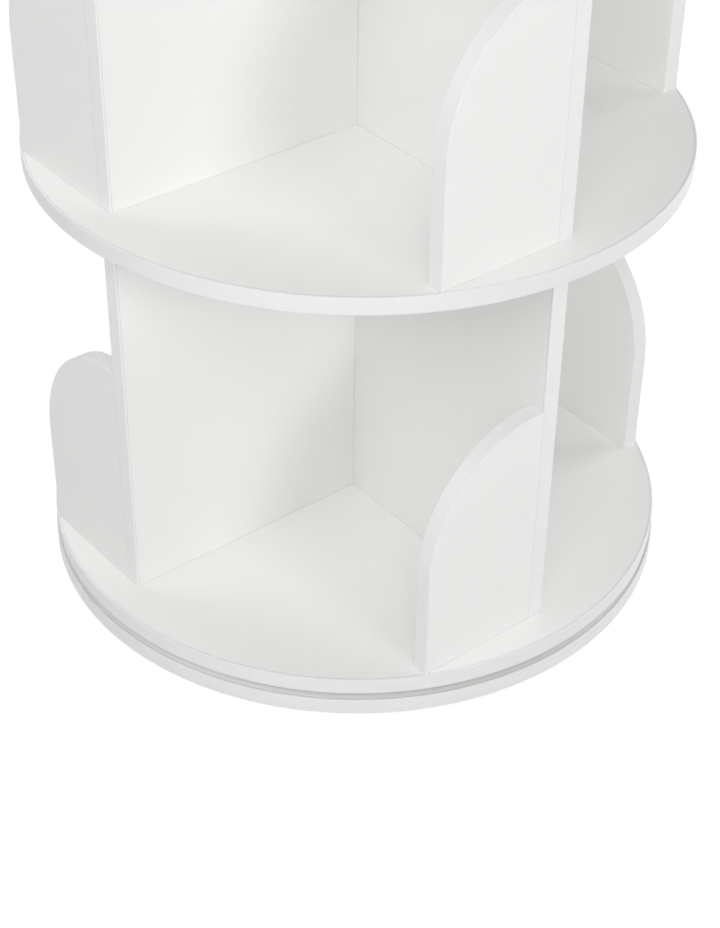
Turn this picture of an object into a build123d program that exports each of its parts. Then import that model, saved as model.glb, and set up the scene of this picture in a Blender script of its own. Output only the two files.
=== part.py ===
from build123d import *
import math
import os

# Revolving bookcase: a fixed round base on glides, a ball-race turntable, and
# a carousel of round shelves held apart by crossed dividers. Every divider
# ends in a curved book stop. Millimetres, +Z up, origin on the floor under
# the middle of the base, which is also the axis the carousel turns about.

# ---------------------------------------------------------------- boards
board = 12.5                 # thickness of every board
disc_radius = 230.0          # finished radius of the turning discs
base_overhang = 1.0          # how much further the fixed base disc reaches
tier_clear = 296.5           # free height of one tier of books
rim_setback = 24.5           # disc rim to the finished end of a divider
edge_band = 1.5              # thickness of the glued edge strip
edge_round = 0.6             # rounding on both corners of an edge strip

# ------------------------------------------------------------ book stops
stop_width = 95.0            # from the divider's face to the free edge
stop_height = 180.0          # top of the flat beside the divider
stop_flat = 28.0             # to the corner of the flat top and the slope
stop_slope_rise = 41.0       # of the slope, from the free edge to the flat top
stop_slope_straight = 1.0    # what the two arcs leave straight of the slope
stop_tip_radius = 75.0       # wide arc between slope and flat top

# ------------------------------------------------------------- turntable
turntable_height = 5.6       # gap between base disc and bottom shelf
plate_sheet = 1.2            # sheet thickness of both plates
plate_radius = 110.0
race_radius = 95.0           # circle that the balls run on
ball_diameter = 4.0
ball_count = 24
ball_play = 0.05             # ball to groove, and rivet to plate
cage_thickness = 1.0
cage_width = 9.0
cage_play = 0.1              # ball to cage pocket
rivet_diameter = 16.0
rivet_wall = 1.5
rivet_head_diameter = 23.0
rivet_head_thickness = 1.0
washer_thickness = 0.5
rivet_pocket_play = 0.6      # rivet head to the pocket in the board
base_screw_circle = 70.0     # radius of the screws into the base disc
shelf_screw_circle = 52.0    # radius of the screws into the bottom shelf
plate_screw_count = 4        # in each plate
shelf_screw_angle = 45.0     # keeps the upper screws between the dividers
access_hole_diameter = 16.0  # lets a driver reach the upper screws

# ------------------------------------------------------------- fasteners
fastener_play = 0.05         # radial gap around every screw, dowel and bolt
hole_spare = 0.5             # extra depth at the blind end of a hole
overrun = 1.0                # how far a cutter runs past an open face
board_screw_diameter = 4.0
board_screw_length = 40.0
board_screw_head = 8.0
pan_screw_diameter = 4.0
pan_screw_length = 10.0      # grip below the plate
pan_head_diameter = 8.0
pan_head_height = 2.2
pan_head_rim = 0.9           # straight side of the head, under its crown
pan_head_crown = 5.6         # flat on top of the head
foot_screw_diameter = 3.5
foot_screw_length = 13.0
foot_screw_head = 7.0
tip_length = 3.0             # tapered end of a wood screw
drive_length = 4.4           # cross drive in every screw head
drive_width = 1.0
drive_depth = 1.0
dowel_diameter = 8.0
dowel_length = 30.0
dowel_in_disc = 8.0          # depth of a dowel in the face of a disc
dowel_chamfer = 0.8
centre_dowel_bite = 14.0     # grip of a centre dowel in each half divider
stop_dowel_diameter = 6.0
stop_dowel_length = 30.0
stop_dowel_bite = 8.5        # grip of a stop dowel in the divider
cam_diameter = 12.0
cam_depth = 10.0
cam_drive_length = 7.0
cam_sink = 0.3               # cam face below the divider's face
cam_drop = 24.0              # cam centre below the top edge
cam_bolt_thread = 5.0
cam_bolt_bite = 10.0         # thread in the disc above
cam_bolt_lead = 1.0          # chamfer at the end of the thread
cam_bolt_shank = 4.0
cam_bolt_head = 6.0
cam_bolt_head_height = 3.0
cam_play = 0.3               # bolt head to the cam's channel

# ------------------------------------ places along one arm of the cross
inner_screw = 80.0           # from the axis
outer_screw_inset = 55.0     # from the divider's end
foot_dowel = 30.0            # from the axis, at the divider's bottom edge
inner_top_dowel = 50.0       # from the axis, at the divider's top edge
outer_top_dowel_inset = 25.0
stop_screw_place = 60.0      # from the divider's face, in the stop
stop_dowel_heights = (45.0, 130.0)
centre_dowel_inset = 60.0    # from a divider's top and bottom edge

# ------------------------------------------------------------------ feet
foot_count = 6
foot_height = 6.0
foot_diameter = 28.0
foot_inset = 31.0            # foot centre in from the base rim
foot_round = 1.5
foot_head_sink = 1.5         # screw head above the floor

# --------------------------------------------------------- derived places
half_board = board / 2
base_radius = disc_radius + base_overhang
divider_reach = disc_radius - rim_setback
base_top = foot_height + board
shelf_bottom = base_top + turntable_height
first_floor = shelf_bottom + board
tier_pitch = tier_clear + board
tiers = {"lower": first_floor, "upper": first_floor + tier_pitch}
top_board_bottom = first_floor + len(tiers) * tier_pitch - board

outer_screw = divider_reach - outer_screw_inset
outer_top_dowel = divider_reach - outer_top_dowel_inset
cam_place = (inner_screw + outer_screw) / 2
stop_line = divider_reach - half_board
slope_run = stop_width - stop_flat
slope_angle = math.atan2(stop_slope_rise, slope_run)
sweep_angle = math.pi / 2 - slope_angle
sweep_tangent = (
    math.hypot(stop_slope_rise, slope_run)
    - stop_tip_radius * math.tan(slope_angle / 2)
    - stop_slope_straight
)
stop_sweep_radius = sweep_tangent / math.tan(sweep_angle / 2)
screw_places = (inner_screw, outer_screw)
top_dowel_places = (inner_top_dowel, outer_top_dowel)
dowel_in_divider = dowel_length - dowel_in_disc
centre_dowel_length = board + 2 * centre_dowel_bite
centre_dowel_heights = (
    centre_dowel_inset,
    tier_clear / 2,
    tier_clear - centre_dowel_inset,
)
foot_circle = base_radius - foot_inset
race_height = base_top + turntable_height / 2
lower_plate_top = base_top + plate_sheet
upper_plate_bottom = shelf_bottom - plate_sheet
rivet_pocket_depth = ball_play + washer_thickness + rivet_head_thickness + hole_spare
rivet_pocket_radius = rivet_head_diameter / 2 + rivet_pocket_play

# Each arm of the cross is drawn along +X and turned to its place. Seen from
# above, its book stop stands on its clockwise side, which is -Y as drawn.
arms = {"right": 0, "back": 90, "left": 180, "front": 270}
up = (0, 0, 1)
down = (0, 0, -1)
towards_stop = (0, -1, 0)
away_from_stop = (0, 1, 0)


# ------------------------------------------------------- shape helpers
def rod(diameter, length, place, direction):
    """A cylinder that starts at a place and runs in a direction."""
    start = Plane(origin=place, z_dir=direction)
    return start * Cylinder(diameter / 2, length, align=(Align.CENTER, Align.CENTER, Align.MIN))


def block(x_span, y_span, z_span):
    """A box between two values on each axis."""
    spans = (x_span, y_span, z_span)
    size = [span[1] - span[0] for span in spans]
    middle = [(span[1] + span[0]) / 2 for span in spans]
    return Pos(*middle) * Box(*size)


def turned(profile):
    """A solid of revolution about Z from (radius, height) points."""
    return revolve(make_face(Plane.XZ * Polyline(*profile, close=True)), Axis.Z)


def cut(body, cutters):
    """The body less all the cutters."""
    return body - list(cutters)


def group(solids):
    """Separate solids that share one node."""
    return Compound(list(solids))


def on_arm(angle, shape):
    """A shape drawn on the arm along +X, turned to another arm."""
    return Rot(0, 0, angle) * shape


def cross_drive(length):
    """The cross-shaped recess of a head whose outer face is at z = 0."""
    half_width = drive_width / 2
    slot = block((-length / 2, length / 2), (-half_width, half_width), (-overrun, drive_depth))
    return slot + Rot(0, 0, 90) * slot


# ------------------------------------------------------------ fasteners
# Each is drawn with its head's outer face at z = 0 and its point along +Z.
def countersunk_screw(diameter, length, head_diameter):
    shank = diameter / 2
    head = head_diameter / 2
    head_height = head - shank
    profile = [
        (0, 0),
        (head, 0),
        (shank, head_height),
        (shank, length - tip_length),
        (0, length),
    ]
    return turned(profile) - cross_drive(drive_length)


def countersunk_hole(diameter, length, head_diameter):
    """The bored and countersunk hole that such a screw sits in."""
    shank = diameter / 2 + fastener_play
    head = head_diameter / 2 + fastener_play
    profile = [
        (0, -overrun),
        (head, -overrun),
        (head, 0),
        (shank, head - shank),
        (shank, length + hole_spare),
        (0, length + hole_spare),
    ]
    return turned(profile)


def pan_screw():
    """Plate screw, with z = 0 under its head."""
    shank = pan_screw_diameter / 2
    head = pan_head_diameter / 2
    profile = [
        (0, -pan_head_height),
        (pan_head_crown / 2, -pan_head_height),
        (head, -pan_head_rim),
        (head, 0),
        (shank, 0),
        (shank, plate_sheet + pan_screw_length - tip_length),
        (0, plate_sheet + pan_screw_length),
    ]
    return turned(profile) - Pos(0, 0, -pan_head_height) * cross_drive(drive_length)


def dowel(diameter, length):
    """Beech dowel with chamfered ends."""
    plain = Cylinder(diameter / 2, length, align=(Align.CENTER, Align.CENTER, Align.MIN))
    return chamfer(plain.edges().filter_by(GeomType.CIRCLE), dowel_chamfer)


def bored(diameter, depth, place, direction):
    """A blind hole for a fastener of this diameter, which goes in by depth."""
    return rod(diameter + 2 * fastener_play, depth + hole_spare, place, direction)


def cam_bolt():
    """Bolt that hangs from a disc, with z = 0 at the disc's underside."""
    thread = cam_bolt_thread / 2
    shank = cam_bolt_shank / 2
    head = cam_bolt_head / 2
    head_top = -cam_drop + cam_bolt_head_height / 2
    head_bottom = head_top - cam_bolt_head_height
    profile = [
        (0, cam_bolt_bite),
        (thread - cam_bolt_lead, cam_bolt_bite),
        (thread, cam_bolt_bite - cam_bolt_lead),
        (thread, 0),
        (shank, 0),
        (shank, head_top),
        (head, head_top),
        (head, head_bottom),
        (0, head_bottom),
    ]
    return turned(profile)


def cam_lock():
    """Cam in a divider: face at y = 0, body towards -Y, bolt coming from +Z."""
    drum = rod(cam_diameter, cam_depth, (0, 0, 0), towards_stop)
    axis_depth = half_board - cam_sink
    neck = cam_bolt_head + 2 * cam_play
    channel = block(
        (-neck / 2, neck / 2),
        (-axis_depth - neck / 2, -axis_depth + neck / 2),
        (-cam_bolt_head_height / 2 - cam_play, cam_diameter),
    )
    drive = Plane(origin=(0, 0, 0), z_dir=towards_stop) * cross_drive(cam_drive_length)
    return drum - channel - drive


# ------------------------------------------------ fixed base and turntable
def disc_core(radius, bottom):
    """The board of a disc, inside its edge strip."""
    return rod(2 * (radius - edge_band), board, (0, 0, bottom), up)


def disc_edge_band(radius, bottom):
    """The edge strip glued round a disc, with both corners rounded."""
    whole = rod(2 * radius, board, (0, 0, bottom), up)
    rounded = fillet(whole.edges().filter_by(GeomType.CIRCLE), edge_round)
    return rounded - disc_core(radius, bottom)


def on_circle(radius, count, first_angle, height):
    """Places evenly round the axis."""
    step = 360 / count
    angles = [math.radians(first_angle + step * i) for i in range(count)]
    return [(radius * math.cos(a), radius * math.sin(a), height) for a in angles]


def foot_places():
    return on_circle(foot_circle, foot_count, 0, 0)


def foot_screw_hole(place):
    """A foot screw's hole, with the well that sinks its head."""
    well = rod(foot_screw_head + 2 * fastener_play, foot_head_sink, place, up)
    hole = countersunk_hole(foot_screw_diameter, foot_screw_length, foot_screw_head)
    return well + Pos(place[0], place[1], foot_head_sink) * hole


def make_feet():
    """Round plastic glides, rounded where they meet the floor."""
    for place in foot_places():
        pad = rod(foot_diameter, foot_height, place, up)
        pad = fillet(pad.edges().group_by(Axis.Z)[0], foot_round)
        yield pad - foot_screw_hole(place)


def make_foot_screws():
    screw = countersunk_screw(foot_screw_diameter, foot_screw_length, foot_screw_head)
    for x, y, floor in foot_places():
        yield Pos(x, y, floor + foot_head_sink) * screw


def base_screw_places():
    return on_circle(base_screw_circle, plate_screw_count, 0, lower_plate_top)


def shelf_screw_places():
    angle = shelf_screw_angle
    return on_circle(shelf_screw_circle, plate_screw_count, angle, upper_plate_bottom)


def access_hole():
    """Hole through base disc and lower plate, under one upper screw."""
    x, y, _ = shelf_screw_places()[0]
    return rod(access_hole_diameter, shelf_bottom, (x, y, 0), up)


def make_base_disc():
    pocket_floor = base_top - rivet_head_thickness - hole_spare
    cutters = [
        access_hole(),
        rod(2 * rivet_pocket_radius, board, (0, 0, pocket_floor), up),
    ]
    for place in base_screw_places():
        cutters.append(bored(pan_screw_diameter, plate_sheet + pan_screw_length, place, down))
    cutters += [foot_screw_hole(place) for place in foot_places()]
    return cut(disc_core(base_radius, foot_height), cutters)


def race_groove():
    """The ring that the balls sweep, with their play."""
    return Pos(0, 0, race_height) * Torus(race_radius, ball_diameter / 2 + ball_play)


def plate(bottom):
    """A turntable plate with its race groove and its hole for the rivet."""
    sheet = rod(2 * plate_radius, plate_sheet, (0, 0, bottom), up)
    centre = rod(rivet_diameter + 2 * ball_play, 3 * plate_sheet, (0, 0, bottom - plate_sheet), up)
    return cut(sheet, [race_groove(), centre])


def plate_screw_holes(places, direction):
    """The holes in a plate, from the side where the screws' heads lie."""
    for place in places:
        yield rod(pan_screw_diameter + 2 * fastener_play, plate_sheet, place, direction)


def make_lower_plate():
    holes = list(plate_screw_holes(base_screw_places(), down))
    return cut(plate(base_top), holes + [access_hole()])


def make_upper_plate():
    holes = plate_screw_holes(shelf_screw_places(), up)
    return cut(plate(upper_plate_bottom), holes)


def make_base_screws():
    return group(Plane(origin=place, z_dir=down) * pan_screw() for place in base_screw_places())


def make_shelf_screws():
    return group(Plane(origin=place, z_dir=up) * pan_screw() for place in shelf_screw_places())


def make_rivet():
    """Hollow rivet: headed under the lower plate, rolled over the washer."""
    outer = rivet_diameter / 2
    bore = outer - rivet_wall
    head = rivet_head_diameter / 2
    rolled_bottom = shelf_bottom + ball_play + washer_thickness
    profile = [
        (bore, base_top - rivet_head_thickness),
        (head, base_top - rivet_head_thickness),
        (head, base_top),
        (outer, base_top),
        (outer, rolled_bottom),
        (head, rolled_bottom),
        (head, rolled_bottom + rivet_head_thickness),
        (bore, rolled_bottom + rivet_head_thickness),
    ]
    return turned(profile)


def make_washer():
    """Slip washer between the upper plate and the rivet's rolled head."""
    bottom = shelf_bottom + ball_play
    ring = rod(rivet_head_diameter, washer_thickness, (0, 0, bottom), up)
    return ring - rod(rivet_diameter + 2 * ball_play, washer_thickness, (0, 0, bottom), up)


def ball_places():
    return on_circle(race_radius, ball_count, 0, race_height)


def make_balls():
    return group(Pos(*place) * Sphere(ball_diameter / 2) for place in ball_places())


def make_cage():
    """Flat ring that spaces the balls."""
    bottom = race_height - cage_thickness / 2
    ring = rod(2 * race_radius + cage_width, cage_thickness, (0, 0, bottom), up)
    cutters = [rod(2 * race_radius - cage_width, cage_thickness, (0, 0, bottom), up)]
    for x, y, _ in ball_places():
        cutters.append(rod(ball_diameter + 2 * cage_play, cage_thickness, (x, y, bottom), up))
    return cut(ring, cutters)


# ------------------------------------------------------ shelves and top
def stop_screw_spot():
    """Where a stop's screw stands on the arm along +X."""
    return (stop_line, -half_board - stop_screw_place)


def holes_for_tier_above(bottom):
    """Screw and dowel holes in a disc that carries a tier of dividers."""
    top = bottom + board
    screw = countersunk_hole(board_screw_diameter, board_screw_length, board_screw_head)
    for angle in arms.values():
        for place in screw_places:
            yield on_arm(angle, Pos(place, 0, bottom) * screw)
        stop_x, stop_y = stop_screw_spot()
        yield on_arm(angle, Pos(stop_x, stop_y, bottom) * screw)
        yield on_arm(angle, bored(dowel_diameter, dowel_in_disc, (foot_dowel, 0, top), down))


def holes_for_tier_below(bottom):
    """Cam bolt and dowel holes in a disc that closes a tier of dividers."""
    for angle in arms.values():
        yield on_arm(angle, bored(cam_bolt_thread, cam_bolt_bite, (cam_place, 0, bottom), up))
        for place in top_dowel_places:
            yield on_arm(angle, bored(dowel_diameter, dowel_in_disc, (place, 0, bottom), up))


def make_bottom_shelf():
    cutters = list(holes_for_tier_above(shelf_bottom))
    cutters.append(rod(2 * rivet_pocket_radius, rivet_pocket_depth, (0, 0, shelf_bottom), up))
    for place in shelf_screw_places():
        cutters.append(bored(pan_screw_diameter, plate_sheet + pan_screw_length, place, up))
    return cut(disc_core(disc_radius, shelf_bottom), cutters)


def make_middle_shelf():
    bottom = tiers["upper"] - board
    cutters = list(holes_for_tier_above(bottom)) + list(holes_for_tier_below(bottom))
    return cut(disc_core(disc_radius, bottom), cutters)


def make_top_board():
    return cut(disc_core(disc_radius, top_board_bottom), holes_for_tier_below(top_board_bottom))


# ------------------------------------------------------------- dividers
def bottom_edge_holes(angle, floor):
    """Screw and dowel holes in the bottom edge of one arm."""
    grip = board_screw_length - board
    for place in screw_places:
        yield on_arm(angle, bored(board_screw_diameter, grip, (place, 0, floor), up))
    yield on_arm(angle, bored(dowel_diameter, dowel_in_divider, (foot_dowel, 0, floor), up))


def top_edge_holes(angle, floor):
    """Dowel holes, and the bolt hole and cam pocket, near the top edge of one arm."""
    top = floor + tier_clear
    for place in top_dowel_places:
        yield on_arm(angle, bored(dowel_diameter, dowel_in_divider, (place, 0, top), down))
    depth = cam_drop + cam_bolt_head_height / 2
    bolt_way = cam_bolt_head + 2 * cam_play
    yield on_arm(angle, rod(bolt_way, depth, (cam_place, 0, top), down))
    pocket_depth = cam_sink + cam_depth + fastener_play
    pocket = rod(cam_diameter + 2 * fastener_play, pocket_depth, (0, cam_sink, 0), towards_stop)
    yield cam_spot(angle, floor) * pocket


def cam_spot(angle, floor):
    """The place and turn of a cam, whose face is on the side without the stop."""
    face = half_board - cam_sink
    return Rot(0, 0, angle) * Pos(cam_place, face, floor + tier_clear - cam_drop)


def stop_dowel_holes(angle, floor, depth, direction):
    """Holes for a stop's dowels, from the face where stop and divider meet."""
    for height in stop_dowel_heights:
        place = (stop_line, -half_board, floor + height)
        yield on_arm(angle, bored(stop_dowel_diameter, depth, place, direction))


def arm_holes(angle, floor):
    yield from bottom_edge_holes(angle, floor)
    yield from top_edge_holes(angle, floor)
    yield from stop_dowel_holes(angle, floor, stop_dowel_bite, away_from_stop)


def centre_dowel_holes(floor):
    """The through holes at the cross, along the half dividers."""
    half = centre_dowel_length / 2 + hole_spare
    for height in centre_dowel_heights:
        start = (0, -half, floor + height)
        yield rod(dowel_diameter + 2 * fastener_play, 2 * half, start, away_from_stop)


def make_long_divider(floor):
    """The divider that runs through the cross, from left to right."""
    end = divider_reach - edge_band
    body = block((-end, end), (-half_board, half_board), (floor, floor + tier_clear))
    cutters = list(centre_dowel_holes(floor))
    for side in ("left", "right"):
        cutters += arm_holes(arms[side], floor)
    return cut(body, cutters)


def make_half_divider(side, floor):
    """A divider that butts against the long one, on the front or the back."""
    end = divider_reach - edge_band
    body = block((half_board, end), (-half_board, half_board), (floor, floor + tier_clear))
    cutters = list(centre_dowel_holes(floor)) + list(arm_holes(arms[side], floor))
    return cut(on_arm(arms[side], body), cutters)


def make_divider_edge_bands(floor):
    """The edge strips on the four outer ends of the dividers."""
    start = divider_reach - edge_band
    strip = block((start, divider_reach), (-half_board, half_board), (floor, floor + tier_clear))
    strip = fillet(strip.edges().filter_by(Axis.Z).group_by(Axis.X)[-1], edge_round)
    return group(on_arm(angle, strip) for angle in arms.values())


# ----------------------------------------------------------- book stops
def stop_outline(inset):
    """Face of a stop: x from the divider, y up, inset on its banded edges."""
    free_edge = stop_width - inset
    flat_height = stop_height - inset
    flat_end = stop_flat - inset * math.tan(slope_angle / 2)
    slope_foot = stop_height - stop_slope_rise - inset * math.tan(sweep_angle / 2)
    banded = FilletPolyline(
        (free_edge, 0),
        (free_edge, slope_foot),
        (flat_end, flat_height),
        (0, flat_height),
        radius=[stop_sweep_radius - inset, stop_tip_radius - inset],
    )
    plain = Polyline((0, flat_height), (0, 0), (free_edge, 0))
    return make_face(banded + plain)


def stop_stand(angle, floor):
    """Carries a stop's outline to its arm, thickness towards the axis."""
    upright = Plane(origin=(divider_reach, -half_board, floor), x_dir=(0, -1, 0), z_dir=(-1, 0, 0))
    return Rot(0, 0, angle) * upright.location


def stop_core():
    return extrude(stop_outline(edge_band), board)


def make_stop(angle, floor):
    """A book stop's board, bored for its screw and its two dowels."""
    standing = stop_stand(angle, floor) * stop_core()
    stop_x, stop_y = stop_screw_spot()
    grip = board_screw_length - board
    dowel_grip = stop_dowel_length - stop_dowel_bite
    cutters = [on_arm(angle, bored(board_screw_diameter, grip, (stop_x, stop_y, floor), up))]
    cutters += stop_dowel_holes(angle, floor, dowel_grip, towards_stop)
    return cut(standing, cutters)


def stop_edge_band():
    """The edge strip that follows a stop's free edge, sweep and flat top."""
    whole = extrude(stop_outline(0), board)
    corners = [
        edge
        for edge in whole.edges().filter_by(Axis.Z, reverse=True)
        if edge.center().X > edge_band and edge.center().Y > edge_band
    ]
    return fillet(corners, edge_round) - stop_core()


def make_stop_edge_bands(floor):
    strip = stop_edge_band()
    return group(stop_stand(angle, floor) * strip for angle in arms.values())


# ------------------------------------------------ fasteners of one tier
def make_divider_screws(floor):
    """Screws from under the shelf into the dividers' bottom edges."""
    screw = countersunk_screw(board_screw_diameter, board_screw_length, board_screw_head)
    return group(
        on_arm(angle, Pos(place, 0, floor - board) * screw)
        for angle in arms.values()
        for place in screw_places
    )


def make_stop_screws(floor):
    """Screws from under the shelf into the stops' bottom edges."""
    screw = countersunk_screw(board_screw_diameter, board_screw_length, board_screw_head)
    x, y = stop_screw_spot()
    return group(on_arm(angle, Pos(x, y, floor - board) * screw) for angle in arms.values())


def make_edge_dowels(floor):
    """Dowels between the dividers and the discs below and above them."""
    pin = dowel(dowel_diameter, dowel_length)
    low = floor - dowel_in_disc
    high = floor + tier_clear - dowel_in_divider
    spots = [(foot_dowel, low)] + [(place, high) for place in top_dowel_places]
    return group(
        on_arm(angle, Pos(place, 0, height) * pin)
        for angle in arms.values()
        for place, height in spots
    )


def make_centre_dowels(floor):
    """Dowels through the long divider into both half dividers."""
    pin = dowel(dowel_diameter, centre_dowel_length)
    start = -centre_dowel_length / 2
    along = [
        Plane(origin=(0, start, floor + height), z_dir=away_from_stop)
        for height in centre_dowel_heights
    ]
    return group(place * pin for place in along)


def make_stop_dowels(floor):
    """Dowels between the dividers and the stops."""
    pin = dowel(stop_dowel_diameter, stop_dowel_length)
    start = -half_board + stop_dowel_bite
    along = [
        Plane(origin=(stop_line, start, floor + height), z_dir=towards_stop)
        for height in stop_dowel_heights
    ]
    return group(on_arm(angle, place * pin) for angle in arms.values() for place in along)


def make_cam_bolts(floor):
    hung = Pos(cam_place, 0, floor + tier_clear) * cam_bolt()
    return group(on_arm(angle, hung) for angle in arms.values())


def make_cam_locks(floor):
    return group(cam_spot(angle, floor) * cam_lock() for angle in arms.values())


# ------------------------------------------------------------- the model
def make_nodes():
    yield "base_disc", make_base_disc()
    yield "base_edge_band", disc_edge_band(base_radius, foot_height)
    yield "foot_glides", group(make_feet())
    yield "foot_screws", group(make_foot_screws())
    yield "turntable_lower_plate", make_lower_plate()
    yield "turntable_base_screws", make_base_screws()
    yield "turntable_rivet", make_rivet()
    yield "rivet_washer", make_washer()
    yield "bearing_balls", make_balls()
    yield "ball_cage", make_cage()
    yield "turntable_upper_plate", make_upper_plate()
    yield "turntable_shelf_screws", make_shelf_screws()
    yield "bottom_shelf", make_bottom_shelf()
    yield "middle_shelf", make_middle_shelf()
    yield "top_board", make_top_board()
    yield "bottom_shelf_edge_band", disc_edge_band(disc_radius, shelf_bottom)
    yield "middle_shelf_edge_band", disc_edge_band(disc_radius, tiers["upper"] - board)
    yield "top_board_edge_band", disc_edge_band(disc_radius, top_board_bottom)
    for tier, floor in tiers.items():
        yield f"{tier}_long_divider", make_long_divider(floor)
        yield f"{tier}_front_divider", make_half_divider("front", floor)
        yield f"{tier}_back_divider", make_half_divider("back", floor)
        yield f"{tier}_divider_edge_bands", make_divider_edge_bands(floor)
        for side, angle in arms.items():
            yield f"{tier}_{side}_stop", make_stop(angle, floor)
        yield f"{tier}_stop_edge_bands", make_stop_edge_bands(floor)
        yield f"{tier}_divider_screws", make_divider_screws(floor)
        yield f"{tier}_stop_screws", make_stop_screws(floor)
        yield f"{tier}_edge_dowels", make_edge_dowels(floor)
        yield f"{tier}_centre_dowels", make_centre_dowels(floor)
        yield f"{tier}_stop_dowels", make_stop_dowels(floor)
        yield f"{tier}_cam_bolts", make_cam_bolts(floor)
        yield f"{tier}_cam_locks", make_cam_locks(floor)


os.makedirs("parts", exist_ok=True)
for name, shape in make_nodes():
    export_step(shape, f"parts/{name}.step")
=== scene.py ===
import math

import bmesh
import bpy
import numpy as np
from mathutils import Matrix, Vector


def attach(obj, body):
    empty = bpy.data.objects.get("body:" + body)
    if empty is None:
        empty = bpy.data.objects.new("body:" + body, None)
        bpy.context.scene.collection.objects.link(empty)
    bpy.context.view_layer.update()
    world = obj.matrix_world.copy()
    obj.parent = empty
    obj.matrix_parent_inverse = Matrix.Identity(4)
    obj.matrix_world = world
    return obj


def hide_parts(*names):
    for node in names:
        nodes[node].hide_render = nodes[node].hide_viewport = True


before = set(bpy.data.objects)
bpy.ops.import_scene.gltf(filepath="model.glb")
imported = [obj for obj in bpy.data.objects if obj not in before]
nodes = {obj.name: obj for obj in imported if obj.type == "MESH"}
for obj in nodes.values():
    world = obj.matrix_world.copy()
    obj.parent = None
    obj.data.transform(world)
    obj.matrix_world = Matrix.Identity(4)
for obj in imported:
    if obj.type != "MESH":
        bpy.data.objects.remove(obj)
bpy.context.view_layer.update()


# ------------------------------------------------------------- base disc
# The round base stays still on the desk. It is sawn from 12.5 mm particle board
# with white melamine paper pressed on both faces, and raw chips show only in its
# bored holes. The glides are screwed to its foot, the turntable to its top.
class Amount:
    """A value in a finish, in millimetres where it is a length. Sums add Math nodes."""

    def __init__(self, finish, socket):
        self.finish = finish
        self.socket = socket

    def sum(self, operation, *values, clamp=False):
        inputs = dict(enumerate(values))
        return self.finish.lay("Math", inputs, operation=operation, use_clamp=clamp)

    def __add__(self, other):
        return self.sum("ADD", self, other)

    __radd__ = __add__

    def __sub__(self, other):
        return self.sum("SUBTRACT", self, other)

    def __rsub__(self, other):
        return self.sum("SUBTRACT", other, self)

    def __mul__(self, other):
        return self.sum("MULTIPLY", self, other)

    __rmul__ = __mul__

    def __truediv__(self, other):
        return self.sum("DIVIDE", self, other)

    def __abs__(self):
        return self.sum("ABSOLUTE", self)

    def __gt__(self, other):
        return self.sum("GREATER_THAN", self, other)

    def least(self, other):
        return self.sum("MINIMUM", self, other)

    def most(self, other):
        return self.sum("MAXIMUM", self, other)

    def held(self):
        """The value kept between 0 and 1."""
        return self.sum("ADD", self, 0.0, clamp=True)

    def close(self, width=0.2):
        """1 where the value is 0, fading to 0 a width away on either side."""
        return (1.0 - abs(self) / width).held()


class Finish:
    """A finish as it is mixed, of a material or of the world round the object."""

    def __init__(self, name, blocks=bpy.data.materials):
        self.block = blocks.new(name)
        self.block.use_nodes = True
        self.tree = self.block.node_tree
        self.tree.nodes.clear()
        self.place = self.lay("TexCoord", output="Object")

    def lay(self, kind, inputs=None, output=0, **settings):
        """Adds a node, with its settings first and then its values and links."""
        node = self.tree.nodes.new("ShaderNode" + kind)
        for key, value in settings.items():
            setattr(node, key, value)
        for key, value in (inputs or {}).items():
            if isinstance(value, Amount):
                self.tree.links.new(value.socket, node.inputs[key])
            elif isinstance(value, tuple) and node.inputs[key].type == "RGBA":
                node.inputs[key].default_value = (*value, 1.0)
            else:
                node.inputs[key].default_value = value
        return Amount(self, node.outputs[output]) if node.outputs else None

    def across(self):
        """x, y and z of the point, in millimetres."""
        split = self.lay("SeparateXYZ", {0: self.place}).socket.node
        return [1000.0 * Amount(self, part) for part in split.outputs]

    def reach(self):
        """How far the point is from the upright axis, in millimetres."""
        inputs = {0: self.place, 1: (1000.0, 1000.0, 0.0)}
        flat = self.lay("VectorMath", inputs, operation="MULTIPLY")
        return self.lay("VectorMath", {0: flat}, output="Value", operation="LENGTH")

    def grain(self, size, detail=2.0, along=None):
        """Noise from 0 to 1 whose lumps are about a size in millimetres."""
        place = self.place if along is None else along
        inputs = {"Vector": place, "Scale": 1000.0 / size, "Detail": detail}
        return self.lay("TexNoise", inputs)

    def blend(self, share, first, second):
        """Colour that goes from the first to the second."""
        inputs = {0: share, 6: first, 7: second}
        return self.lay("Mix", inputs, output=2, data_type="RGBA")

    def dents(self, height, depth):
        """A normal for a height of 0 to 1 that stands for a depth in millimetres."""
        return self.lay("Bump", {"Height": height, "Distance": depth / 1000.0})

    def done(self, **sockets):
        """Ends the finish with its surface, whose sockets are named here."""
        inputs = {key.replace("_", " "): value for key, value in sockets.items()}
        surface = self.lay("BsdfPrincipled", inputs)
        self.lay("OutputMaterial", {"Surface": surface})
        return self.block


def chips(finish):
    """Raw particle board: tan chips a millimetre or two long, with dark gaps."""
    inputs = {"Vector": finish.place, "Scale": 700.0, "Randomness": 1.0}
    cell = finish.lay("TexVoronoi", inputs, output="Color")
    shade = finish.lay("SeparateXYZ", {0: cell})
    tan = finish.blend(shade, (0.36, 0.23, 0.12), (0.62, 0.45, 0.27))
    return finish.blend(finish.grain(0.7) > 0.62, tan, (0.20, 0.12, 0.06))


# Painted shade: the grey, and how much of it, for the thin shadow line painted where
# two pieces meet.
gap_shade_share, gap_shade_grey = 0.55, (0.16, 0.16, 0.15)


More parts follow.
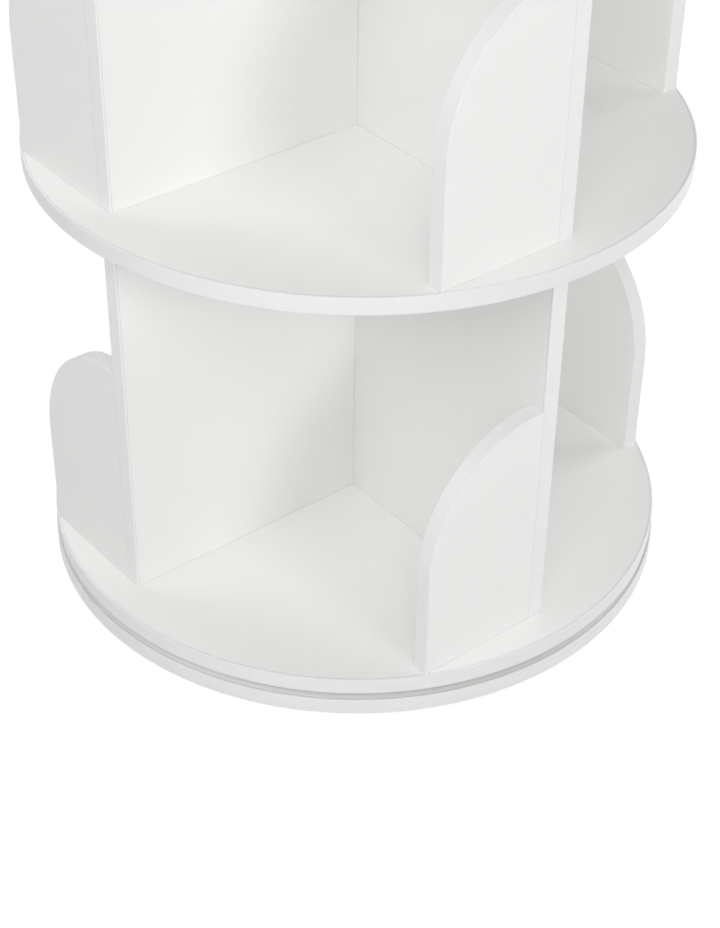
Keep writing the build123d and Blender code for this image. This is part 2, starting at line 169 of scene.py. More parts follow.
def melamine(finish, under, joint):
    """White melamine on particle board.

    The chips show where a point lies under the pressed faces. At a joint, where it
    meets another piece, a thin line of shade is painted into the paper's colour. The
    paper has the faint pearl of its press plate, in lumps of half a millimetre and a
    few microns deep.
    """
    clouds = finish.grain(90.0, 3.0)
    paper = finish.blend(clouds, (0.895, 0.893, 0.884), (0.914, 0.912, 0.904))
    # painted shade: a thin shadow line along each joint
    paper = finish.blend(joint * gap_shade_share, paper, gap_shade_grey)
    raw = ((under - 0.02) * 40.0).held()
    pearl = finish.grain(0.55, 1.0)
    gloss = 0.52 + 0.05 * finish.grain(6.0) + 0.05 * pearl
    return finish.done(
        Base_Color=finish.blend(raw, paper, chips(finish)),
        Roughness=gloss + raw * 0.45,
        Normal=finish.dents(pearl + 2.0 * raw * finish.grain(1.2), 0.005),
    )


def dress(finish, *names):
    """Gives CAD pieces their finish."""
    for name in names:
        slots = nodes[name].data.materials
        slots.clear()
        slots.append(finish)


board, band = 12.5, 1.5  # thickness of the boards and of their edge strips
base_reach, base_foot = 231.0, 6.0
base_top = base_foot + board

base_board = Finish("base_melamine")
z = base_board.across()[2]
under = (z - base_foot).least(base_top - z)
# Painted shade: a thin shadow line where the board meets its edge strip.
seam_shade = (base_board.reach() - (base_reach - band)).close(0.5)
dress(melamine(base_board, under, seam_shade), "base_disc")


# ------------------------------------------------------ base edge strip
# A 1.5 mm strip of white plastic, pressed round the sawn edge with hot glue.
# Its two outer corners are milled round and buffed; a hair of a groove is left
# where it meets the melamine.
def rounded(corners, steps=8, lead=0.1):
    """A closed line through corners of (one way, the other way, radius).

    Each corner becomes an arc of its radius, tangent to both its sides: the middle
    of the arc lies on the line that halves the corner, radius / sin(half angle)
    from it, and a point turns evenly from one tangent point to the other. One more
    point stands a lead away on each side, which keeps the flats flat.
    """
    corners = np.array(corners, float)
    point, radius = corners[:, :2], corners[:, 2:]
    back = np.roll(point, 1, 0) - point
    onward = np.roll(point, -1, 0) - point
    back /= np.linalg.norm(back, axis=1, keepdims=True)
    onward /= np.linalg.norm(onward, axis=1, keepdims=True)
    halving = back + onward
    halving /= np.linalg.norm(halving, axis=1, keepdims=True)
    half = np.arccos((halving * back).sum(1, keepdims=True))
    middle = point + halving * radius / np.sin(half)
    start = point + back * radius / np.tan(half)
    end = point + onward * radius / np.tan(half)
    turn = math.pi - 2 * half
    share = np.linspace(0, 1, steps + 1)[:, None, None]
    swing = np.sin((1 - share) * turn) * (start - middle)
    swing = (swing + np.sin(share * turn) * (end - middle)) / np.sin(turn)
    line = [(start + back * lead)[None], middle + swing, (end + onward * lead)[None]]
    return np.concatenate(line).transpose(1, 0, 2).reshape(-1, 2)


def turned(profile, sides):
    """A (radius, height) profile turned about the upright axis.

    x = radius cos angle, y = radius sin angle, in rows along the profile and
    columns round the turn.
    """
    angle = np.linspace(0, 2 * math.pi, sides, endpoint=False)
    radius, height = np.asarray(profile, float).T[:, :, None]
    ring = (radius * np.cos(angle), radius * np.sin(angle), height + 0 * angle)
    return np.stack(ring, -1)


def skinned(name, grids, finish):
    """A mesh from grids of points in millimetres, shaped (grid, row, column, 3).

    A face joins each point to the next along its row and its column, and the last
    ones to the first. Points at one spot are merged, and faces that the merging
    leaves without area are dropped, which closes the poles.
    """
    grids = np.asarray(grids, float)
    grids = grids.reshape(-1, *grids.shape[-3:])
    every = grids.reshape(-1, 3).round(6)
    spots, number = np.unique(every, axis=0, return_inverse=True)
    number = number.reshape(grids.shape[:3])
    beyond = np.roll(number, -1, 1)
    quads = [number, beyond, np.roll(beyond, -1, 2), np.roll(number, -1, 2)]
    quads = np.stack(quads, -1).reshape(-1, 4)
    same = quads == np.roll(quads, -1, 1)
    faces = quads[~same.any(1)].tolist()
    for corner in range(4):
        one = same[:, corner] & (same.sum(1) == 1)
        faces += np.delete(quads[one], corner, 1).tolist()
    mesh = bpy.data.meshes.new(name)
    mesh.from_pydata((spots / 1000.0).tolist(), [], faces)
    shell = bmesh.new()
    shell.from_mesh(mesh)
    bmesh.ops.recalc_face_normals(shell, faces=shell.faces)
    shell.to_mesh(mesh)
    shell.free()
    mesh.shade_smooth()
    mesh.set_sharp_from_angle(angle=math.radians(32))
    mesh.materials.append(finish)
    made = bpy.data.objects.new(name, mesh)
    bpy.context.scene.collection.objects.link(made)
    return made


def strip_plastic(finish, tone, joint=None):
    """White plastic strip: satin, with faint drawn lines along it, and painted shade at
    a joint.
    """
    dull, pale = (tone, tone, tone - 0.007), (tone + 0.015, tone + 0.015, tone + 0.009)
    plastic = finish.blend(finish.grain(60.0, 2.0), dull, pale)
    # painted shade: a thin shadow line where the strip meets another piece
    if joint:
        plastic = finish.blend(joint * gap_shade_share, plastic, gap_shade_grey)
    scale = (0.04, 0.04, 1.0)
    stretch = finish.lay("Mapping", {"Vector": finish.place, "Scale": scale})
    drawn = finish.grain(0.8, 2.0, stretch)
    return finish.done(
        Base_Color=plastic,
        Roughness=0.46 + 0.08 * finish.grain(4.0) + 0.05 * drawn,
        Normal=finish.dents(drawn, 0.003),
    )


buffed = 0.6  # radius of a strip's outer corners


def strip_ring(reach, bottom):
    """The strip round a disc: its section turned about the axis."""
    core, top, groove = reach - band, bottom + board, 0.07
    section = [
        (core, bottom + groove, 0), (core + groove, bottom, 0),
        (reach, bottom, buffed), (reach, top, buffed),
        (core + groove, top, 0), (core, top - groove, 0),
    ]
    return turned(rounded(section, lead=0.03), 384)


# Painted shade: the rims' strip is set greyer than the same plastic on the dividers and
# stops, standing in for less light on the rims.
shaded_rim_plastic = strip_plastic(Finish("rim_strip_plastic_shaded"), 0.845)
base_ring = strip_ring(base_reach, base_foot)
base_strip = skinned("base_edge_strip", base_ring, shaded_rim_plastic)
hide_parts("base_edge_band")
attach(base_strip, "base")


# ---------------------------------------------------------------- glides
# Six black glides of moulded plastic carry the base 6 mm above the desk. Each has
# a rounded foot with fine spark grain, and a well that sinks the head of its screw.
def round_about(grid, count, reach):
    """Copies of a grid moved to even places on a circle round the axis."""
    angle = 2 * math.pi * np.arange(count) / count
    move = np.stack([reach * np.cos(angle), reach * np.sin(angle), 0 * angle], -1)
    return grid + move[:, None, None, :]


glide_count, glide_circle, well_top = 6, 200.0, 1.5
glide = [
    (1.8, 3.25, 0), (3.55, well_top, 0), (3.55, 0, 0.25),
    (14.0, 0, 1.5), (14.0, base_foot, 0.3), (1.8, base_foot, 0),
]
moulded = Finish("glide_plastic")
spark = moulded.grain(0.35, 3.0)
scuff = (moulded.grain(3.0, 4.0) - 0.55) * 2.0
z = moulded.across()[2]
scuff = scuff.held() * z.close(0.6)
glide_plastic = moulded.done(
    Base_Color=moulded.blend(scuff, (0.022, 0.022, 0.023), (0.10, 0.10, 0.10)),
    Roughness=0.48 + 0.16 * spark,
    Normal=moulded.dents(spark, 0.03),
)
pads = round_about(turned(rounded(glide, 5), 48), glide_count, glide_circle)
glides = skinned("foot_glide_pads", pads, glide_plastic)
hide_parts("foot_glides")
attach(glides, "base")


# ----------------------------------------------------------- foot screws
# Countersunk wood screws, 3.5 x 13 mm, of zinc-plated steel. Their thread is rolled,
# their head has a cross drive, and they go up through the glides into the base.
def cross_line(length, width):
    """How far a cross drive reaches from the middle of a head, at each angle.

    A cross is two bars; along any angle it reaches to the further of the two bars'
    edges. The angles are those of its corners, with a few between them.
    """
    corner = math.atan2(width, length)
    turn = [0, corner, 0.49, math.pi / 4, math.pi / 2 - 0.49, math.pi / 2 - corner]
    angle = (np.arange(4)[:, None] * math.pi / 2 + np.array(turn)).ravel()
    along = np.abs(np.cos(angle)).clip(1e-6)
    aside = np.abs(np.sin(angle)).clip(1e-6)
    bar = np.minimum(length / 2 / along, width / 2 / aside)
    other = np.minimum(width / 2 / along, length / 2 / aside)
    return angle, np.maximum(bar, other)


def screw(head, shank, pitch, depth, drive=4.4):
    """A screw that stands on its head, with its point up.

    head and shank are (radius, height) lines. The shank's radius is multiplied by
    1 - depth (1 - crest), and crest peaks once a turn and climbs a pitch a turn.
    The rows of a drive follow its cross down into the head.
    """
    angle, cross = cross_line(drive or 4.4, 1.0)
    head, shank = np.array(head, float), np.array(shank, float)
    climb = np.arange(shank[0, 1], shank[-1, 1], pitch / 5)
    phase = (climb[:, None] / pitch - angle / (2 * math.pi)) % 1.0
    crest = (1 - 4.0 * np.abs(phase - 0.5)).clip(0, 1)
    core = np.interp(climb, shank[:, 1], shank[:, 0])[:, None]
    share, drop = ([0, 0.6, 0.9, 1], [1, 1, 0.8, 0]) if drive else ([0], [0])
    reach = [
        np.array(share)[:, None] * cross,
        head[:, :1] + 0 * angle,
        core * (1 - depth * (1 - crest)),
        0 * angle[None],
    ]
    reach = np.concatenate(reach)
    level = [head[0, 1] + np.array(drop), head[:, 1], climb, shank[-1:, 1]]
    level = np.concatenate(level)[:, None] + 0 * angle
    return np.stack((reach * np.cos(angle), reach * np.sin(angle), level), -1)


plated = Finish("zinc_plated_steel")
cloud = plated.grain(2.5, 3.0)
plated_steel = plated.done(
    Base_Color=plated.blend(cloud, (0.56, 0.57, 0.59), (0.68, 0.68, 0.67)),
    Metallic=1.0,
    Roughness=0.24 + 0.16 * plated.grain(0.8, 2.0),
    Normal=plated.dents(plated.grain(0.25, 2.0), 0.004),
)
head = [(3.4, 0), (3.5, 0.08), (1.75, 1.75)]
shank = [(1.75, 2.6), (1.75, 10), (0.3, 13)]
foot_screw = screw(head, shank, 1.4, 0.3) + (0, 0, well_top)
grids = round_about(foot_screw, glide_count, glide_circle)
foot_screws = skinned("foot_wood_screws", grids, plated_steel)
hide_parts("foot_screws")
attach(foot_screws, "base")


# ------------------------------------------------------ turntable plates
# Two plates of 1.2 mm steel sheet, zinc plated, each with a rolled groove for the
# balls. The lower one is screwed to the base, the upper one under the bottom shelf.
sheet = Finish("plate_steel")
cloud = sheet.grain(14.0, 4.0)
lines = sheet.lay("Mapping", {"Vector": sheet.place, "Scale": (1.0, 0.03, 1.0)})
rolled = sheet.grain(0.5, 2.0, lines)
plate_steel = sheet.done(
    Base_Color=sheet.blend(cloud, (0.50, 0.51, 0.53), (0.66, 0.66, 0.65)),
    Metallic=1.0,
    Roughness=0.30 + 0.12 * cloud + 0.08 * rolled,
    Normal=sheet.dents(rolled, 0.004),
)
dress(plate_steel, "turntable_lower_plate", "turntable_upper_plate")


# ---------------------------------------------------------- plate screws
# Pan-head screws, 4 x 10 mm, zinc plated. Four hold each plate to its board; the
# upper ones are driven through the hole in the base.
plate, head_height, shelf_foot = 1.2, 2.2, 24.1
base_circle, shelf_circle = 70.0, 52.0  # radius at which each plate is screwed
head = [
    (2.6, 0), (3.2, 0.16), (3.7, 0.55), (3.95, 1.0), (4.0, 1.3),
    (4.0, head_height), (2.0, head_height),
]
shank = [(2.0, head_height + plate), (2.0, 10.4), (0.3, 13.4)]
plate_screw = screw(head, shank, 1.6, 0.28)
quarters = np.radians(90 * np.arange(4))[:, None, None]


def on_arms(grid):
    """A shape on the right-hand arm, and turned to the other three.

    On the right-hand arm x goes out along it, y aside and z up. Turned,
    x' = x cos angle - y sin angle and y' = x sin angle + y cos angle.
    """
    x, y, z = np.moveaxis(np.asarray(grid)[..., None, :, :, :], -1, 0)
    bend, rise = np.cos(quarters), np.sin(quarters)
    return np.stack((x * bend - y * rise, x * rise + y * bend, z + 0 * bend), -1)


head_top = base_top + plate + head_height
points_down = plate_screw * (1, -1, -1) + (base_circle, 0, head_top)
base_screws = skinned("base_plate_screws", on_arms(points_down), plated_steel)
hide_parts("turntable_base_screws")
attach(base_screws, "base")

diagonal = shelf_circle / math.sqrt(2)
points_up = plate_screw + (diagonal, diagonal, shelf_foot - plate - head_height)
shelf_screws = skinned("shelf_plate_screws", on_arms(points_up), plated_steel)
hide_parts("turntable_shelf_screws")
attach(shelf_screws, "carousel")


# ------------------------------------------------------ rivet and washer
# A hollow steel rivet is the turntable's axle. Its lower head is pressed, the upper
# one is rolled over a thin slip washer of natural nylon.
rivet = [
    (6.5, 17.5, 0.2), (11.5, 17.5, 0.3), (11.5, 18.5, 0.3), (8.0, 18.5, 0),
    (8.0, 24.65, 0), (11.5, 24.65, 0.3), (11.5, 25.65, 0.4), (6.5, 25.65, 0.6),
]
axle = skinned("hollow_rivet", turned(rounded(rivet, 5, 0.05), 64), plated_steel)
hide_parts("turntable_rivet")
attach(axle, "base")

milky = Finish("natural_nylon")
cloud = milky.grain(3.0, 2.0)
nylon = milky.done(
    Base_Color=milky.blend(cloud, (0.70, 0.69, 0.63), (0.78, 0.77, 0.71)),
    Roughness=0.38 + 0.1 * cloud,
    Normal=milky.dents(milky.grain(0.4), 0.008),
)
washer = [(8.05, 24.15, 0.1), (11.5, 24.15, 0.1)]
washer += [(11.5, 24.65, 0.1), (8.05, 24.65, 0.1)]
slip_washer = skinned("slip_washer", turned(rounded(washer, 3, 0.03), 64), nylon)
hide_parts("rivet_washer")
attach(slip_washer, "base")


# -------------------------------------------------------- balls and cage
# Twenty-four 4 mm balls of polished bearing steel, lightly greased, run between the
# plates. A flat ring of moulded plastic spaces them and turns at half speed.
ball_radius, ball_level, ball_circle, ball_count = 2.0, 21.3, 95.0, 24
polished = Finish("bearing_steel")
smear = polished.grain(1.6, 2.0)
bearing_steel = polished.done(
    Base_Color=polished.blend(smear, (0.62, 0.62, 0.63), (0.76, 0.75, 0.73)),
    Metallic=1.0,
    Roughness=0.08 + 0.14 * smear,
    Normal=polished.dents(smear, 0.002),
)
bow = np.linspace(-math.pi / 2, math.pi / 2, 11)
half_round = (ball_radius * np.cos(bow), ball_level + ball_radius * np.sin(bow))
ball = turned(np.stack(half_round, -1), 20)
race = round_about(ball, ball_count, ball_circle)
balls = skinned("steel_balls", race, bearing_steel)
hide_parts("bearing_balls")
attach(balls, "ball_ring")

moulded = Finish("cage_plastic")
flow = moulded.grain(5.0, 3.0)
cage_plastic = moulded.done(
    Base_Color=moulded.blend(flow, (0.045, 0.048, 0.052), (0.075, 0.078, 0.083)),
    Roughness=0.36 + 0.16 * flow,
    Normal=moulded.dents(moulded.grain(0.4), 0.01),
)
dress(cage_plastic, "ball_cage")


# --------------------------------------------------- shelves and top board
# Three turning discs of the same white board, 457 mm across the board, carry two
# tiers of books. A thin line of painted shade marks where a divider, a stop or a strip
# meets them.
disc_reach, arm_end = 230.0, 205.5
lower_floor, lower_ceiling = shelf_foot + board, 333.1
upper_floor, upper_ceiling = lower_ceiling + board, 642.1
stop_width, stop_height = 95.0, 180.0
half = board / 2
stop_middle = arm_end - half  # middle of a stop's thickness, out along its arm


def arm_frame(x, y):
    """How far out along its arm of the cross a point is, and how far aside.

    The arms lie along x and y. Seen from above, aside is below 0 on an arm's
    clockwise side, where its book stop is.
    """
    on_x = abs(x) > abs(y)
    aside = on_x * y * (2.0 * (x > 0.0) - 1.0)
    aside = aside - (1.0 - on_x) * x * (2.0 * (y > 0.0) - 1.0)
    return abs(x).most(abs(y)), aside


def disc_gap_shade(along, aside, z, floor=None, ceiling=None):
    """Painted lines of shade round the feet of dividers and stops, and round the
    dividers' tops.
    """
    divider = (abs(aside) - half).most(along - arm_end)
    joint = 0.0 * z
    if floor:
        stop_reach = abs(aside + (half + stop_width / 2)) - stop_width / 2
        stop = (abs(along - stop_middle) - half).most(stop_reach)
        joint = divider.close().most(stop.close()) * (z - floor).close(0.1)
    if ceiling:
        joint = joint + divider.close() * (z - ceiling).close(0.1)
    return joint


discs = [
    ("bottom_shelf", shelf_foot, {"floor": lower_floor}),
    ("middle_shelf", lower_ceiling, {"floor": upper_floor, "ceiling": lower_ceiling}),
    ("top_board", upper_ceiling, {"ceiling": upper_ceiling}),
]
for disc, bottom, joints in discs:
    disc_board = Finish(disc + "_melamine")
    x, y, z = disc_board.across()
    joint = disc_gap_shade(*arm_frame(x, y), z, **joints)
    # painted shade: a thin shadow line where the board meets its edge strip
    joint = joint.most((disc_board.reach() - (disc_reach - band)).close(0.3))
    under = (z - bottom).least(bottom + board - z)
    dress(melamine(disc_board, under, joint), disc)


# --------------------------------------------- edge strips of the turning discs
# The same white strip as on the base, on a rim 1 mm further in, with both corners
# rounded the same way.
for disc, bottom, _ in discs:
    ring = strip_ring(disc_reach, bottom)
    strip = skinned(disc + "_edge_strip", ring, shaded_rim_plastic)
    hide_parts(disc + "_edge_band")
    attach(strip, "carousel")


# -------------------------------------------------------------- dividers
# Upright boards that cross over the axis and carry the disc above: one long board
# from left to right, and half boards dowelled to its middle on front and back.
tiers = [
    ("lower", lower_floor, lower_ceiling),
    ("upper", upper_floor, upper_ceiling),
]
for tier, floor, ceiling in tiers:
    divider_board = Finish(tier + "_divider_melamine")
    x, y, z = divider_board.across()
    along, aside = arm_frame(x, y)
    # Painted shade: thin shadow lines at the floor and ceiling, at the middle and end
    # joints, and round a stop on the face.
    joint = (z - floor).close().most((z - ceiling).close())
    joint = joint.most((along - half).close()).most((along - (arm_end - band)).close())
    stop_rise = abs(z - floor - stop_height / 2) - stop_height / 2
    stop = (abs(along - stop_middle) - half).most(stop_rise)
    joint = joint.most(stop.close() * (0.0 - aside).held())
    under = (half - abs(aside)) * (along > half - 0.01)
    names = [tier + side + "_divider" for side in ("_long", "_front", "_back")]
    dress(melamine(divider_board, under, joint), *names)


# -------------------------------------------------- divider edge strips
# A strip of the same white plastic closes the outer end of each divider, from the
# shelf to the disc above, with both its upright corners rounded. Painted shade lines
# it at the shelf, at the disc above and beside the stop; beside the stop the painted
# shade is full on the right-hand arm and three tenths as strong on the others.
def capped(grid):
    """A grid of rings with its ends closed: one more row at each end lies wholly at
    the middle of that end's ring."""
    ends = [end.mean(-2, keepdims=True) + 0 * end for end in (grid[:1], grid[-1:])]
    return np.concatenate([ends[0], grid, ends[1]])


groove, core = 0.1, arm_end - band
section = [
    (core, groove - half, 0), (core + groove, -half, 0), (arm_end, -half, buffed),
    (arm_end, half, buffed), (core + groove, half, 0), (core, half - groove, 0),
]
section = rounded(section, lead=0.05)
for tier, floor, ceiling in tiers:
    rows = np.array([floor, floor + 1, ceiling - 1, ceiling])[:, None]
    outward, sideways = section[:, 0] + 0 * rows, section[:, 1] + 0 * rows
    upright = np.stack((outward, sideways, rows + 0 * outward), -1)
    end_strip = Finish(tier + "_divider_strip_plastic")
    x, y, z = end_strip.across()
    along, aside = arm_frame(x, y)
    # Painted shade: thin shadow lines at the shelf, at the disc above and beside the
    # stop.
    joint = (z - floor).close().most((z - ceiling).close())
    shade_by_stop = (aside + half).close(0.5) * (1.0 - (z > floor + stop_height))
    joint = joint.most(shade_by_stop * (0.3 + 0.7 * (x > abs(y))))
    plastic = strip_plastic(end_strip, 0.89, joint)
    grids = on_arms(capped(upright))
    strips = skinned(tier + "_divider_end_strips", grids, plastic)
    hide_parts(tier + "_divider_edge_bands")
    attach(strips, "carousel")


# ------------------------------------------------------------ book stops
# Low boards across the outer end of each divider that keep books from sliding out.
# They are routed to a quarter-sail shape, screwed from under the shelf and dowelled.
off_face = 1.65  # the chips start this deep, so that none show beside the strips
for tier, floor, _ in tiers:
    stop_board = Finish(tier + "_stop_melamine")
    x, y, z = stop_board.across()
    along, aside = arm_frame(x, y)
    under = half - off_face - abs(along - stop_middle)
    inner = (along - (arm_end - board)).close(0.1)
    # Painted shade: a thin shadow line at the stop's foot and where its inner face
    # meets the divider.
    joint = (z - floor).close().most((aside + half).close() * inner)
    sides = ("right", "back", "left", "front")
    names = [f"{tier}_{side}_stop" for side in sides]
    dress(melamine(stop_board, under, joint), *names)


# ------------------------------------------------------ stop edge strips
# White strip bent round the free edge and the sweep of each stop, which levels out
# at the top before it meets the divider's face.
sweep_level, tip_reach = 139.0, 28.0  # where the slope meets the upright and the flat
tip, straight = 75.0, 1.0  # radius of the wide arc, and what is straight of the slope


def stop_line(inset):
    """The banded edge of a stop: upright, a long arc, a wider one, and level again.

    Points are (from the divider's face, up), and they start at the upright's foot.
    Moved in by an inset, the corners shift along their sides and the arcs keep
    their middles.
    """
    rise, run = stop_height - sweep_level, stop_width - tip_reach
    slope = math.atan2(rise, run)
    edge, flat = stop_width - inset, stop_height - inset
    sweep_corner = sweep_level - inset * math.tan((math.pi / 2 - slope) / 2)
    tip_corner = tip_reach - inset * math.tan(slope / 2)
    tangent = math.hypot(rise, run) - tip * math.tan(slope / 2) - straight
    sweep = tangent / math.tan((math.pi / 2 - slope) / 2)
    corners = [
        (0, 0, 0), (edge, 0, 0), (edge, sweep_corner, sweep - inset),
        (tip_corner, flat, tip - inset), (0, flat, 0),
    ]
    steps, lead = 40, 0.3
    line = rounded(corners, steps, lead)
    row = steps + 3  # points that a corner gives
    foot, face = row + steps + 1, 4 * row + 1
    return line[foot : face + 1]


section = [
    (0, groove, 0), (groove, 0, 0), (band, 0, buffed),
    (band, board, buffed), (groove, board, 0), (0, board - groove, 0),
]
section = rounded(section, lead=0.05)
inner, outer = stop_line(band)[:, None], stop_line(0.0)[:, None]
sideways, up = np.moveaxis(inner + (outer - inner) * section[:, :1] / band, -1, 0)
bent = np.stack((arm_end - section[:, 1] + 0 * up, -half - sideways, up), -1)
for tier, floor, _ in tiers:
    bent_strip = Finish(tier + "_stop_strip_plastic")
    z = bent_strip.across()[2]
    # painted shade: a thin shadow line at the strip's foot
    plastic = strip_plastic(bent_strip, 0.88, (z - floor).close())
    grids = on_arms(capped(bent + (0, 0, floor)))
    strips = skinned(tier + "_stop_bent_strips", grids, plastic)
    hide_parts(tier + "_stop_edge_bands")
    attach(strips, "carousel")


# ---------------------------------------------------------- board screws
# Countersunk wood screws, 4 x 40 mm, zinc plated, driven up from under each shelf:
# two into every divider and one into every stop.
head = [(3.9, 0), (4.0, 0.1), (2.0, 2.0), (2.0, 8.5)]
shank = [(2.0, 9.0), (2.0, 37.0), (0.3, 40.0)]
board_screw = screw(head, shank, 1.8, 0.3)
screw_aside = half + 60.0  # how far aside of its arm a stop is screwed
for tier, floor, _ in tiers:
    spots = np.array([(80.0, 0, floor - board), (150.5, 0, floor - board)])
    grids = on_arms(board_screw + spots[:, None, None])
    screws = skinned(tier + "_divider_wood_screws", grids, plated_steel)
    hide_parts(tier + "_divider_screws")
    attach(screws, "carousel")

    grids = on_arms(board_screw + (stop_middle, -screw_aside, floor - board))
    screws = skinned(tier + "_stop_wood_screws", grids, plated_steel)
    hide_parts(tier + "_stop_screws")
    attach(screws, "carousel")


# ---------------------------------------------------------------- dowels
# Bare beech dowels with pressed flutes and chamfered ends. They line up dividers,
# stops and discs, 8 mm thick in the dividers and 6 mm in the stops.
def dowel(radius, length):
    """A dowel that stands on its end. Its radius falls by a fifth of a millimetre in
    a flute, eighteen times a turn: radius - 0.2 (half + half cos 18 angle) squared."""
    angle = np.linspace(0, 2 * math.pi, 108, endpoint=False)
    flute = 0.2 * (0.5 + 0.5 * np.cos(18 * angle)) ** 2
    line = [(0, 0), (-0.8, 0), (0, 0.8), (0, length - 0.8), (-0.8, length), (0, length)]
    less, level = np.array(line).T[:, :, None]
    reach = radius + less - flute
    reach[[0, -1]] = 0
    flat = level + 0 * angle
    return np.stack((reach * np.cos(angle), reach * np.sin(angle), flat), -1)


def beech(name, stretch):
    """Bare beech: pale tan with short dark flecks along the dowel."""
    bare = Finish(name)
    drawn = bare.lay("Mapping", {"Vector": bare.place, "Scale": stretch})
    fleck = bare.grain(0.8, 3.0, drawn)
    line = bare.grain(2.5, 4.0, drawn)
    wood = bare.blend(line, (0.62, 0.42, 0.25), (0.72, 0.53, 0.34))
    wood = bare.blend((fleck > 0.63) * 0.5, wood, (0.36, 0.20, 0.10))
    return bare.done(
        Base_Color=wood, Roughness=0.55 + 0.2 * fleck, Normal=bare.dents(fleck, 0.03)
    )


beech_upright = beech("beech_upright", (1.0, 1.0, 0.12))
beech_level = beech("beech_level", (0.4, 0.4, 1.0))
lying = np.array([0, 2, 1])
for tier, floor, ceiling in tiers:
    hung = ceiling - 22.0
    spots = np.array([(30.0, 0, floor - 8.0), (50.0, 0, hung), (180.5, 0, hung)])
    grids = on_arms(dowel(4.0, 30.0) + spots[:, None, None])
    pins = skinned(tier + "_edge_beech_dowels", grids, beech_upright)
    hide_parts(tier + "_edge_dowels")
    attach(pins, "carousel")

    spots = np.array([(0, 20.25, floor + up) for up in (60.0, 148.25, 236.5)])
    laid = dowel(4.0, 40.5)[..., lying] * (1, -1, 1)
    grids = laid + spots[:, None, None]
    pins = skinned(tier + "_centre_beech_dowels", grids, beech_level)
    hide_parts(tier + "_centre_dowels")
    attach(pins, "carousel")

    spots = np.array([(stop_middle, 2.25, floor + up) for up in (45.0, 130.0)])
    laid = dowel(3.0, 30.0)[..., lying] * (1, -1, 1)
    grids = on_arms(laid + spots[:, None, None])
    pins = skinned(tier + "_stop_beech_dowels", grids, beech_level)
    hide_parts(tier + "_stop_dowels")
    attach(pins, "carousel")


# ---------------------------------------------------- cam bolts and cams
# A zinc-plated bolt hangs from the disc above into the top edge of each divider. A
# cam of die-cast zinc, set in the divider's face, turns over the bolt's head.
head = [(2.8, -25.5), (3.0, -25.3), (3.0, -22.5), (2.0, -22.5), (2.0, 0), (2.5, 0)]
shank = [(2.5, 0.1), (2.5, 9.0), (1.5, 10.0)]
cam_bolt = screw(head, shank, 1.8, 0.22, None)
cast = Finish("die_cast_zinc")
skin = cast.grain(0.6, 4.0)
cast_zinc = cast.done(
    Base_Color=cast.blend(skin, (0.33, 0.33, 0.34), (0.47, 0.47, 0.47)),
    Metallic=0.9,
    Roughness=0.42 + 0.2 * skin,
    Normal=cast.dents(skin, 0.02),
)
for tier, _, ceiling in tiers:
    grids = on_arms(cam_bolt + (115.25, 0, ceiling))
    bolts = skinned(tier + "_hanging_cam_bolts", grids, plated_steel)
    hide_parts(tier + "_cam_bolts")
    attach(bolts, "carousel")
    dress(cast_zinc, tier + "_cam_locks")


# ------------------------------------------------- floor, lamps and camera
# The bookcase stands on a plain pale floor under soft studio lamps, with a white
# surround that only the eye of the camera, gloss and glass see.
floor_mesh = bpy.data.meshes.new("pale_floor")
out = 12.0  # half the floor's side, in metres
floor_corners = [(-out, -out, 0), (out, -out, 0), (out, out, 0), (-out, out, 0)]
floor_mesh.from_pydata(floor_corners, [], [(0, 1, 2, 3)])
pale_floor = bpy.data.objects.new("pale_floor", floor_mesh)
bpy.context.scene.collection.objects.link(pale_floor)


def seen_rays(finish):
    """1 for what the eye, gloss or glass sees, and 0 for the light on the object."""
    ray = finish.lay("LightPath").socket.node.outputs
    kinds = ("Is Camera Ray", "Is Glossy Ray", "Is Transmission Ray")
    eye, gloss, glass = (Amount(finish, ray[kind]) for kind in kinds)
    return eye.most(gloss).most(glass)


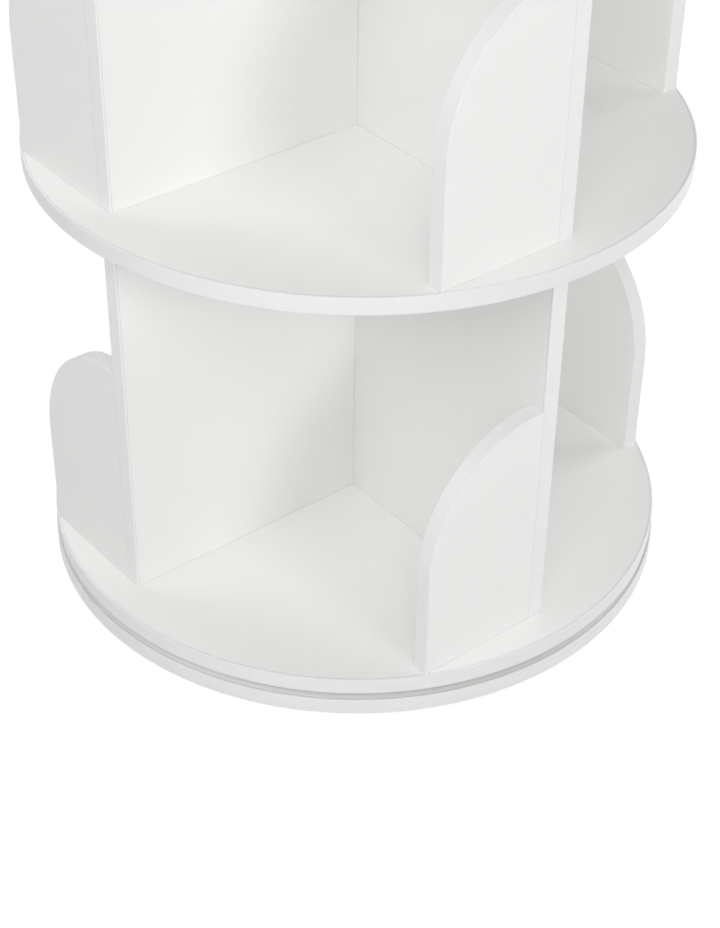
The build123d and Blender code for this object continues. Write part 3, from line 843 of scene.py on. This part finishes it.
ground = Finish("pale_floor")
speckle = ground.grain(4.0, 2.0)
dusty = ground.blend(speckle, (0.84,) * 3, (0.86,) * 3)
matt = ground.lay("BsdfDiffuse", {"Color": dusty})
fade_start, fade_run = 900.0, 1500.0  # where it turns plain white, out from the axis
faint = ground.lay("BsdfDiffuse", {"Color": (0.22,) * 3})
glow = ground.lay("Emission", {"Color": (1.0,) * 3, "Strength": 0.87})
near = ground.lay("AddShader", {0: faint, 1: glow})
white = ground.lay("Emission", {"Color": (1.0,) * 3, "Strength": 1.0})
far = ((ground.reach() - fade_start) / fade_run).held()
bright = ground.lay("MixShader", {0: far, 1: near, 2: white})
surface = ground.lay("MixShader", {0: seen_rays(ground), 1: matt, 2: bright})
ground.lay("OutputMaterial", {"Surface": surface})
floor_mesh.materials.append(ground.block)

studio = Finish("studio", bpy.data.worlds)
room = studio.lay("Background", {"Color": (1.0,) * 3, "Strength": 0.07})
white = studio.lay("Background", {"Color": (1.0,) * 3, "Strength": 1.0})
surface = studio.lay("MixShader", {0: seen_rays(studio), 1: room, 2: white})
studio.lay("OutputWorld", {"Surface": surface})
bpy.context.scene.world = studio.block

# name, place and side in metres, watts
lamps = [
    ("key_softbox", (2.19, -0.19, 0.97), 0.8, 13.3),
    ("front_softbox", (1.45, -1.45, 1.73), 1.5, 24.8),
    ("left_softbox", (-0.36, -2.02, 1.73), 1.5, 16.0),
    ("back_left_softbox", (-2.05, 0.0, 1.73), 1.5, 16.8),
    ("back_right_softbox", (0.42, 2.41, 0.82), 1.5, 32.2),
]
aim = Vector((0.0, 0.0, 0.3))
for name, place, side, watts in lamps:
    light = bpy.data.lights.new(name, "AREA")
    light.size = side
    light.energy = watts
    lamp = bpy.data.objects.new(name, light)
    lamp.location = place
    lamp.visible_camera = False
    lamp.rotation_euler = (aim - Vector(place)).to_track_quat("-Z", "Y").to_euler()
    bpy.context.scene.collection.objects.link(lamp)

lens = bpy.data.cameras.new("studio_camera")
lens.lens = 77.84
lens.sensor_width = 36.0
lens.clip_end = 50.0
camera = bpy.data.objects.new("studio_camera", lens)
camera.location = (0.9640, -0.7785, 0.9833)
camera.rotation_euler = [math.radians(turn) for turn in (52.9841, -0.5893, 51.3386)]
bpy.context.scene.collection.objects.link(camera)
bpy.context.scene.camera = camera
bpy.context.scene.view_settings.view_transform = "Standard"
